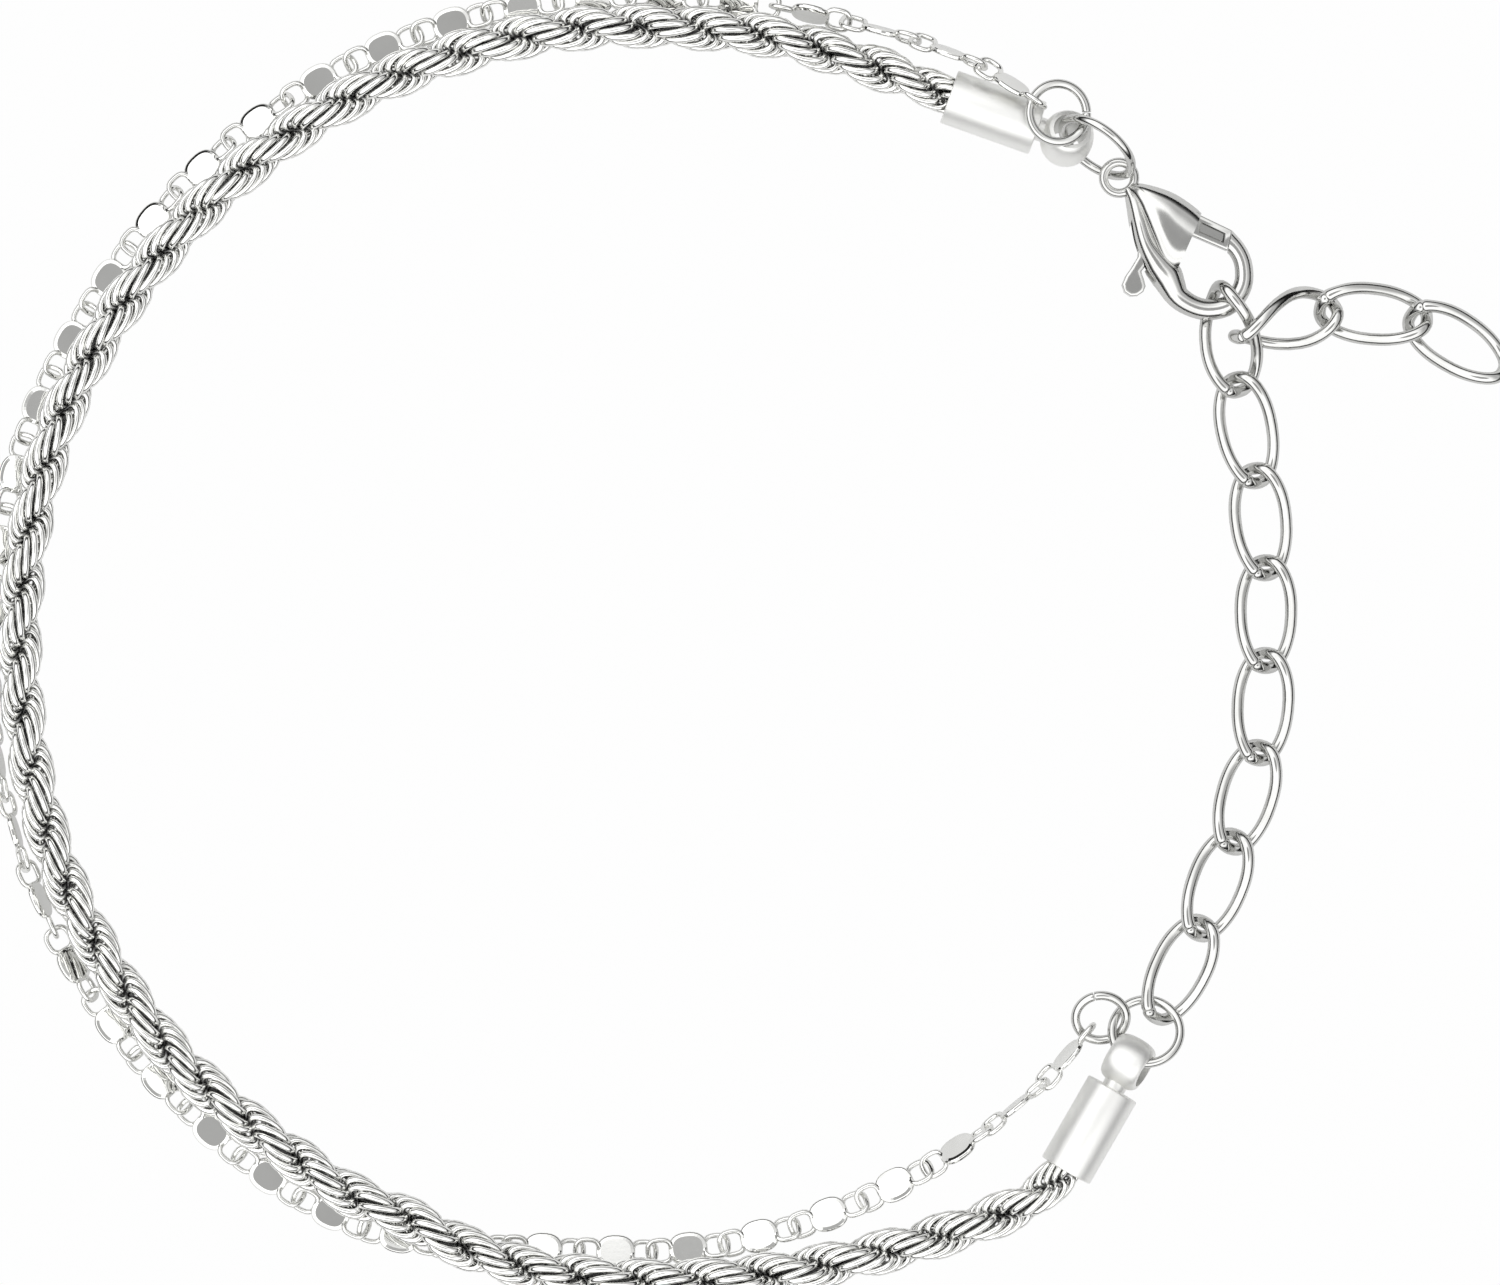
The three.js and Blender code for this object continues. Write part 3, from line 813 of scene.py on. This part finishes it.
@dataclass
class ExtensionChain:
    """Curb links from the lower large ring to the clasp, and the free tail."""

    start: tuple[float, float] = (25.5, -18.35)
    headings: tuple[float, ...] = (63.7, 69.2, 73.5, 86.2, 90, 96.2, 101.3)
    pitch: float = 4.64
    height: float = 0.82
    hooked_heading: float = 100.3
    hooked_slope: float = 7.5
    hooked_end_twist: float = 76.0
    hooked_height: float = 1.07
    tail_start: tuple[float, float] = (29.2, 15.35)
    tail_headings: tuple[float, ...] = (17, -5.9, -32)
    tail_pitch: float = 4.55
    tail_first_height: float = 1.27
    tail_first_slope: float = -10.0
    tail_first_twist: float = 104.0

    def links(self) -> list[CurbLink]:
        """All links in order, from the lower ring to the end of the tail."""
        links = []
        joint = Vector((*self.start, self.height))
        for heading in self.headings:
            links.append(CurbLink(len(links) + 1, joint + heading_vector(heading) * self.pitch / 2, heading))
            joint = joint + heading_vector(heading) * self.pitch
        hooked = joint + heading_vector(self.hooked_heading) * self.pitch / 2
        hooked.z = self.hooked_height
        links.append(CurbLink(len(links) + 1, hooked, self.hooked_heading, self.hooked_slope,
                              end_twist=self.hooked_end_twist))
        tail = Vector((*self.tail_start, self.height))
        tail += heading_vector(self.tail_headings[0]) * (CurbLink.half_length - self.tail_pitch / 2)
        for heading in self.tail_headings:
            middle = tail + heading_vector(heading) * self.tail_pitch / 2
            link = CurbLink(len(links) + 1, middle, heading)
            if heading == self.tail_headings[0]:
                link.middle.z = self.tail_first_height
                link.slope = self.tail_first_slope
                link.start_twist = self.tail_first_twist
            links.append(link)
            tail = tail + heading_vector(heading) * self.tail_pitch
        return links

    def build(self, workshop: Workshop) -> None:
        """Builds every link."""
        for link in self.links():
            link.build(workshop)


@dataclass
class RopeChain:
    """Rope of small wire rings in two strands that wind round each other."""

    caps: tuple[EndCap, EndCap]
    twist_length: float = 6.1
    spacing: float = 0.39
    ring_half_length: float = 0.93
    ring_half_width: float = 0.47
    ring_squareness: float = 0.95
    wire: float = 0.35
    offset: float = 0.5
    turn: float = -8.0
    uneven_turn: float = 5.0
    uneven_size: float = 0.06
    # Where across a ring the painted shade is at its darkest and where it has faded out, as shares of the
    # ring's half width
    fully_shaded: float = -0.4
    unshaded: float = 0.32
    end_size: float = 0.8
    end_depth: float = 2.2
    end_straight: float = 0.6
    taper_from: float = 1.6
    taper_to: float = 4.8
    ring_seed: int = 4
    ring_sides: int = 18
    wire_sides: int = 7

    def route(self) -> Route:
        """Centre line, run into the cap at each end."""
        lower, upper = self.caps
        inner = [on_loop(*row) for row in ROPE_ROUTE]
        start = [lower.mouth_point(self.end_depth), lower.mouth_point(self.end_straight)]
        end = [upper.mouth_point(self.end_straight), upper.mouth_point(self.end_depth)]
        return Route(start + inner + end)

    def places(self) -> list[Matrix]:
        """Place of every ring: two strands, half a turn apart."""
        route = self.route()
        count = round(route.length / self.spacing)
        turns = route.length / self.twist_length
        chance = np.random.default_rng(self.ring_seed)
        places = []
        for number in range(count + 1):
            along = number / count
            forward = route.tangent(along)
            side = UP.cross(forward).normalized()
            top = forward.cross(side)
            from_end = min(along, 1 - along) * route.length
            share = min(max((from_end - self.taper_from) / (self.taper_to - self.taper_from), 0.0), 1.0)
            size = self.end_size + (1 - self.end_size) * share * share * (3 - 2 * share)
            for strand in (0.0, math.pi):
                angle = math.tau * turns * along + strand
                ring_turn = math.radians(self.turn + self.uneven_turn * chance.uniform(-1, 1))
                long = 1 + self.uneven_size * chance.uniform(-1, 1)
                out = side * math.cos(angle) + top * math.sin(angle)
                round_axis = top * math.cos(angle) - side * math.sin(angle)
                run = forward * math.cos(ring_turn) + round_axis * math.sin(ring_turn)
                middle = route.at(along) + out * self.offset * size
                stretch = Matrix.Diagonal((size, long, size, 1.0))
                places.append(framed(middle, out, run, out.cross(run)) @ stretch)
        return places

    def ring_line(self, turn: float) -> Vector:
        """Centre line of a ring: an oval that is long in the rope's direction."""
        return squared_oval(turn, self.ring_half_width, self.ring_half_length, self.ring_squareness)

    def build(self, workshop: Workshop) -> None:
        """Models one ring, copies it along both strands and paints shade on each ring's inner side."""
        ring = closed_wire("rope_ring", self.ring_line, lambda turn: self.wire / 2,
                           self.ring_sides, self.wire_sides)
        # Painted shade on each ring: full on its inner side, none towards its outer side
        unshaded_shares = [(vertex.co.x / self.ring_half_width - self.fully_shaded) / (self.unshaded - self.fully_shaded)
                  for vertex in ring.data.vertices]
        places = self.places()
        piece = joined_copies("rope_rings", ring, places)
        layer = piece.data.attributes.new(UNSHADED, "FLOAT", "POINT")
        layer.data.foreach_set("value", np.tile(np.clip(unshaded_shares, 0.0, 1.0), len(places)))
        smooth(piece, degrees=180)
        workshop.hand_over(piece, Matrix.Identity(4), ROPE_FINISH, ["rope_chain"])


@dataclass
class PlateChain:
    """Chain of small polished plates with a turned eye at each end."""

    first_ring: JumpRing
    last_ring: JumpRing
    first_heading: float = 233.0
    first_roll: float = 62.0
    last_heading: float = 152.0
    last_roll: float = 107.0
    links: int = 41
    pitch: float = 3.65
    half_width: float = 0.84
    half_plate: float = 0.98
    plate_squareness: float = 0.83
    outline_sides: int = 28
    thickness: float = 0.34
    rim: float = 0.22
    rim_drop: float = 0.06
    edge: float = 0.08
    eye_along: float = 1.42
    eye_half_length: float = 0.6
    eye_half_width: float = 0.6
    eye_wire: float = 0.27
    eye_squareness: float = 0.7
    eye_twist: float = -24.0
    eye_reach: float = 1.34
    eye_sides: int = 20
    eye_wire_sides: int = 8

    def route(self) -> Route:
        """Centre line, with its ends threaded on the jump rings."""
        points = [on_loop(*row[:3]) for row in PLATE_ROUTE]
        first = self.threaded_end(self.first_ring.wire_point(self.first_heading), points[0])
        last = self.threaded_end(self.last_ring.wire_point(self.last_heading), points[-1])
        return Route([first, *points, last])

    def threaded_end(self, wire: Vector, neighbour: Vector) -> Vector:
        """End of the route that puts the last link's eye on a ring's wire."""
        return wire + (wire - neighbour).normalized() * (self.pitch / 2 - self.eye_reach)

    def lean(self, middle: Vector, number: int) -> float:
        """Small extra roll of a plate, none where the chain lies dead flat."""
        bearing = -math.degrees(math.atan2(middle.y, middle.x)) % 360
        if any(low < bearing < high for low, high in FLAT_STRETCHES):
            return 0.0
        if INWARD_STRETCH[0] < bearing < INWARD_STRETCH[1]:
            return INWARD_LEAN
        return PLATE_LEAN + (number % 3 - 1) * LEAN_STEP

    def places(self) -> list[Matrix]:
        """Place of every link."""
        route = self.route()
        rolls = [self.first_roll, *(row[3] for row in PLATE_ROUTE), self.last_roll]
        places = []
        for number in range(self.links):
            start = route.at(number / self.links)
            run = route.at((number + 1) / self.links) - start
            heading = math.degrees(math.atan2(run.y, run.x))
            slope = math.degrees(math.asin(run.z / run.length))
            share = route.share_at((number + 0.5) / self.links)
            roll = float(np.interp(share * (len(rolls) - 1), range(len(rolls)), rolls))
            middle = start + run / 2
            roll += self.lean(middle, number)
            places.append(Matrix.Translation(middle) @ aim(heading, slope, roll))
        return places

    def plate(self) -> Piece:
        """Models the barrel-shaped plate: a flat middle inside a sloping rim with a rounded edge."""
        turns = [(corner + 0.5) / self.outline_sides for corner in range(self.outline_sides)]
        sizes = (self.half_plate, self.half_width, self.plate_squareness)
        outline = [squared_oval(turn, *sizes)[:2] for turn in turns]
        return rimmed_plate("plate_link", outline, self.thickness, self.rim, self.rim_drop, self.edge)

    def eye_line(self, turn: float) -> Vector:
        """Centre line of an eye: a squared oval."""
        return squared_oval(turn, self.eye_half_length, self.eye_half_width, self.eye_squareness)

    def build(self, workshop: Workshop) -> None:
        """Models one link and copies it along the route."""
        piece = self.plate()
        for end in (-1, 1):
            eye = closed_wire("plate_eye", self.eye_line, lambda turn: self.eye_wire / 2,
                              self.eye_sides, self.eye_wire_sides)
            smooth(eye, degrees=180)
            middle = Matrix.Translation((end * self.eye_along, 0, 0))
            eye.data.transform(turned(end * self.eye_twist, "X") @ middle)
            combine(piece, eye, Cut.JOIN)
        chain = joined_copies("plate_links", piece, self.places())
        workshop.hand_over(chain, Matrix.Identity(4), PLATE_FINISH, ["mirror_chain"])


@dataclass
class LobsterClasp:
    """Lobster clasp in its own plane: x runs from the eye to the hook, y towards the gate."""

    x: float = 23.45
    y: float = 23.36
    height: float = 1.25
    heading: float = -46.0
    eye_radius: float = 0.78
    eye_wire: float = 0.46
    eye_steps: int = 40
    eye_wire_steps: int = 14
    pivot: tuple[float, float] = (2.3, 0.0)
    slot_height: float = 1.2
    lever_thickness: float = 1.0
    pin_hole: float = 0.3
    pin_steps: int = 24
    cut_height: float = 2.0
    section_steps: int = 32
    shell_steps: int = 24
    hook_steps: int = 56
    shell_squareness: float = 0.86
    panel_depth: float = 0.1
    panel_slope: float = 0.07
    lever_rim: float = 0.24
    lever_drop: float = 0.07
    lever_edge: float = 0.06

    # Shell stations: spine end and gate end of each section, and half its thickness
    SHELL = (
        ((0.68, -0.15), (0.66, 0.32), 0.28), ((1.42, -0.3), (1.02, 0.62), 0.68),
        ((2.3, -0.68), (1.6, 1.0), 0.96), ((3.45, -1.2), (2.45, 1.42), 1.12),
        ((4.6, -1.6), (3.3, 1.64), 1.14), ((5.15, -1.48), (3.9, 1.72), 1.13),
        ((5.36, -1.25), (4.14, 1.72), 1.12),
    )
    # Spine and hook stations: centre line, half the width and half the thickness
    HOOK = (
        (0.7, -0.05, 0.26, 0.28), (1.4, -0.32, 0.42, 0.62), (2.22, -0.8, 0.5, 0.86),
        (3.34, -1.39, 0.57, 0.98), (4.49, -1.64, 0.76, 0.98), (5.2, -1.71, 0.82, 0.9),
        (5.8, -1.9, 0.7, 0.76), (6.3, -2.02, 0.6, 0.65), (7.1, -1.85, 0.55, 0.58),
        (7.8, -1.42, 0.53, 0.55), (8.35, -0.6, 0.51, 0.52), (8.38, 0.05, 0.49, 0.5),
        (8.15, 0.75, 0.47, 0.48), (7.73, 1.23, 0.46, 0.47), (7.2, 1.58, 0.45, 0.46),
        (6.62, 1.74, 0.46, 0.46), (6.12, 1.74, 0.49, 0.45), (5.5, 1.74, 0.5, 0.45),
    )
    # Outlines of the lever's slot, the lever, its sunk panel and the cut across the hook's tip
    SLOT = (
        (1.57, -0.22), (1.92, -1.0), (2.62, -2.0), (2.62, -4.0), (4.25, -4.0), (4.25, -0.66), (5.6, -0.66),
        (5.6, 4.0), (4.2, 4.0), (4.2, 1.66), (3.4, 1.34), (2.3, 0.85), (1.6, 0.5), (1.5, 0.2),
    )
    LEVER = (
        (1.72, -0.1), (1.85, 0.4), (2.35, 0.62), (3.4, 1.24), (4.25, 1.62), (5.814, 2.2), (6.393, 1.339),
        (4.64, 0.6), (3.15, 0.0), (3.15, -0.6), (4.09, -2.1), (4.14, -2.5), (4.5, -2.66), (4.82, -2.84),
        (4.94, -3.12), (4.88, -3.46), (4.66, -3.72), (4.3, -3.8), (3.94, -3.62), (3.76, -3.2), (3.66, -2.7),
        (3.5, -2.1), (2.3, -0.6), (1.9, -0.45),
    )
    PANEL = ((4.3, 1.32), (5.68, 1.83), (5.98, 1.44), (4.72, 0.92))
    TIP_CUT = ((5.56, 2.61), (6.64, 1.02), (5.4, 0.9), (4.9, 2.6))

    @property
    def place(self) -> Matrix:
        """Place of the clasp in the loop's frame."""
        return Matrix.Translation((self.x, self.y, self.height)) @ aim(self.heading)

    def section(self, power: float) -> list[Vector]:
        """Unit section: a circle, or a squarer one for a smaller power."""
        turns = [step / self.section_steps for step in range(self.section_steps)]
        return [squared_oval(turn, 1.0, 1.0, power) for turn in turns]

    def shell(self) -> Piece:
        """Lofts the shell from the eye to its straight shoulder."""
        spine = Route([Vector((*row[0], 0)) for row in self.SHELL])
        gate = Route([Vector((*row[1], 0)) for row in self.SHELL])
        halves = Route([Vector((number, row[2], 0)) for number, row in enumerate(self.SHELL)])
        stations = []
        for step in range(self.shell_steps + 1):
            share = step / self.shell_steps
            low, high = spine.point(share), gate.point(share)
            half = halves.point(share).y
            side = (high - low) / 2
            stations.append(framed((low + high) / 2, side, UP * half, side.normalized().cross(UP)))
        return loft("clasp_shell", self.section(self.shell_squareness), stations)

    def hook(self) -> Piece:
        """Lofts the spine from the eye and on round the hook to the gate."""
        route = Route([Vector((x, y, 0)) for x, y, _, _ in self.HOOK])
        numbers = range(len(self.HOOK))
        widths = [row[2] for row in self.HOOK]
        thicknesses = [row[3] for row in self.HOOK]
        stations = []
        for step in range(self.hook_steps + 1):
            along = step / self.hook_steps
            share = route.share_at(along) * (len(self.HOOK) - 1)
            width = float(np.interp(share, numbers, widths))
            thickness = float(np.interp(share, numbers, thicknesses))
            forward = route.tangent(along)
            across = UP.cross(forward)
            stations.append(framed(route.at(along), across * width, UP * thickness, forward))
        return loft("clasp_hook", self.section(1.0), stations)

    def build_body(self, workshop: Workshop) -> None:
        """Models the casting: shell, hook and eye, slotted for the lever."""
        piece = self.shell()
        hook = self.hook()
        combine(hook, prism("clasp_tip_cut", self.TIP_CUT, self.cut_height), Cut.REMOVE)
        combine(piece, hook, Cut.JOIN)
        eye = start_from(Primitive.TORUS, "clasp_eye", major_segments=self.eye_steps,
                         minor_segments=self.eye_wire_steps, major_radius=self.eye_radius,
                         minor_radius=self.eye_wire / 2)
        combine(piece, eye, Cut.JOIN)
        combine(piece, prism("clasp_slot", self.SLOT, self.slot_height), Cut.REMOVE)
        smooth(piece, degrees=32)
        piece.name = "clasp_casting"
        workshop.hand_over(piece, self.place, CLASP_FINISH, ["clasp_body"])

    def build_lever(self, workshop: Workshop) -> None:
        """Models the lever: gate and thumb tab in one plate, bored for the pin."""
        piece = rimmed_plate("clasp_spring_lever", self.LEVER, self.lever_thickness, self.lever_rim,
                             self.lever_drop, self.lever_edge)
        bore = start_from(Primitive.CYLINDER, "lever_bore", vertices=self.pin_steps, radius=self.pin_hole,
                          depth=self.cut_height, location=(*self.pivot, 0))
        combine(piece, bore, Cut.REMOVE)
        for side in (-1, 1):
            panel = rimmed_plate("lever_panel", self.PANEL, 2 * self.panel_depth, self.panel_slope,
                                 self.panel_slope)
            panel.data.transform(Matrix.Translation((0, 0, side * self.lever_thickness / 2)))
            combine(piece, panel, Cut.REMOVE)
        smooth(piece, degrees=40)
        apply_modifier(piece, "WEIGHTED_NORMAL", keep_sharp=True, weight=100)
        workshop.hand_over(piece, self.place, CLASP_FINISH, ["clasp_lever"], LEVER_BODY)

    def build(self, workshop: Workshop) -> None:
        """Builds the casting and the lever."""
        self.build_body(workshop)
        self.build_lever(workshop)


@dataclass
class Studio:
    """White table, soft white surroundings and a camera that looks straight down."""

    view_x: float = 5.0
    view_y: float = 0.125
    view_width: float = 75.0
    view_level: float = 1.2
    lens: float = 150.0
    sensor: float = 36.0
    table_half: float = 2.0
    table_grey: float = 0.4
    table_glow: float = 0.4
    table_white: float = 0.99
    # Brightness of the surroundings by height, from straight down to straight up
    SKY = (
        (0.0, 1.0), (0.485, 0.6), (0.5, 0.02), (0.62, 0.03), (0.69, 0.5), (0.76, 1.7),
        (0.86, 1.4), (0.94, 1.7), (0.968, 1.6), (0.98, 0.5), (1.0, 0.44),
    )
    dark_heading: float = 25.0
    dark_from: float = 0.1
    dark_to: float = 0.75
    dark_shade: float = 0.4

    def camera(self) -> None:
        """Sets up the camera over the middle of the picture."""
        lens = bpy.data.cameras.new("camera")
        lens.lens = self.lens
        lens.sensor_width = self.sensor
        lens.clip_start = 0.01
        camera = bpy.data.objects.new("camera", lens)
        distance = self.view_width * self.lens / self.sensor
        middle = Vector((self.view_x, self.view_y, self.view_level + distance))
        camera.matrix_world = Matrix.Translation(TO_FRAME @ middle)
        bpy.context.scene.collection.objects.link(camera)
        bpy.context.scene.camera = camera

    def table(self) -> None:
        """Lays the table: plain white in the picture, and dimmer where the metal reflects it."""
        table = start_from(Primitive.PLANE, "table", size=2 * self.table_half)
        material = bpy.data.materials.new("white_table")
        material.use_nodes = True
        tree = material.node_tree
        shader = tree.nodes["Principled BSDF"]
        set_inputs(shader, {
            "Base Color": grey(self.table_grey), "Roughness": 0.9, "Specular IOR Level": 0.0,
            "Emission Color": grey(1.0), "Emission Strength": self.table_glow,
        })
        plain = add_node(tree, "ShaderNodeEmission", {"Strength": self.table_white})
        path = add_node(tree, "ShaderNodeLightPath")
        seen = add_node(tree, "ShaderNodeMixShader")
        connect(
            tree,
            (path, "Is Camera Ray", seen, "Fac"), (shader, "BSDF", seen, 1), (plain, "Emission", seen, 2),
            (seen, "Shader", tree.nodes["Material Output"], "Surface"),
        )
        table.data.materials.append(material)

    def surroundings(self) -> None:
        """Lights the bracelet from a white tent that is dark only near the table's level."""
        world = bpy.data.worlds.new("white_tent")
        world.use_nodes = True
        tree = world.node_tree
        place = add_node(tree, "ShaderNodeTexCoord")
        split = add_node(tree, "ShaderNodeSeparateXYZ")
        level = add_node(tree, "ShaderNodeMapRange", {"From Min": -1.0})
        ramp = add_node(tree, "ShaderNodeValToRGB")
        bands = ramp.color_ramp.elements
        while len(bands) < len(self.SKY):
            bands.new(position=0.5)
        for band, (height, value) in zip(bands, self.SKY):
            band.position = height
            band.color = grey(value)
        towards = add_node(tree, "ShaderNodeVectorMath", operation="DOT_PRODUCT")
        towards.inputs[1].default_value = heading_vector(self.dark_heading)
        side = add_node(tree, "ShaderNodeMapRange", {
            "From Min": self.dark_from, "From Max": self.dark_to, "To Min": 1.0, "To Max": self.dark_shade,
        }, interpolation_type="SMOOTHSTEP")
        shade = add_node(tree, "ShaderNodeMix", {"Factor": 1.0}, data_type="RGBA", blend_type="MULTIPLY")
        connect(
            tree,
            (place, "Generated", split, "Vector"), (split, "Z", level, "Value"),
            (level, "Result", ramp, "Fac"), (ramp, "Color", shade, "A"),
            (place, "Generated", towards, 0), (towards, "Value", side, "Value"),
            (side, "Result", shade, "B"), (shade, "Result", tree.nodes["Background"], "Color"),
        )
        bpy.context.scene.world = world
        bpy.context.scene.view_settings.view_transform = "Standard"

    def build(self) -> None:
        """Sets up the whole studio."""
        self.camera()
        self.table()
        self.surroundings()


CAPS = (
    EndCap("end_cap_lower", 20.78, -26.25, 60, 74),
    EndCap("end_cap_upper", 14.95, 27.4, -19.6, -25),
)
RINGS = (
    JumpRing("jump_ring_lower_small", 22.54, -18.64, 1.21, 3.0, 90, 25.5, seam=105),
    JumpRing("jump_ring_lower_large", 24.8, -19.32, 1.25, 3.86, -82, 24.5, seam=135),
    JumpRing("jump_ring_upper_small", 20.33, 26.47, 2.87, 3.36, 180, 10, seam=0),
    JumpRing("jump_ring_upper_large", 22.3, 24.82, 2.1, 4.5, 53, 68, seam=200),
)


def main() -> None:
    """Builds the bracelet round its frame and lights it."""
    logging.basicConfig(level=logging.INFO, format="%(message)s")
    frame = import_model()
    Studio().build()
    workshop = Workshop()
    RopeChain(CAPS).build(workshop)
    PlateChain(RINGS[0], RINGS[2]).build(workshop)
    for cap in CAPS:
        cap.build(workshop)
    for ring in RINGS:
        ring.build(workshop)
    ExtensionChain().build(workshop)
    LobsterClasp().build(workshop)
    workshop.dress_node(frame["nodes"]["clasp_pin"], CLASP_FINISH)


if __name__ == "__main__":
    main()
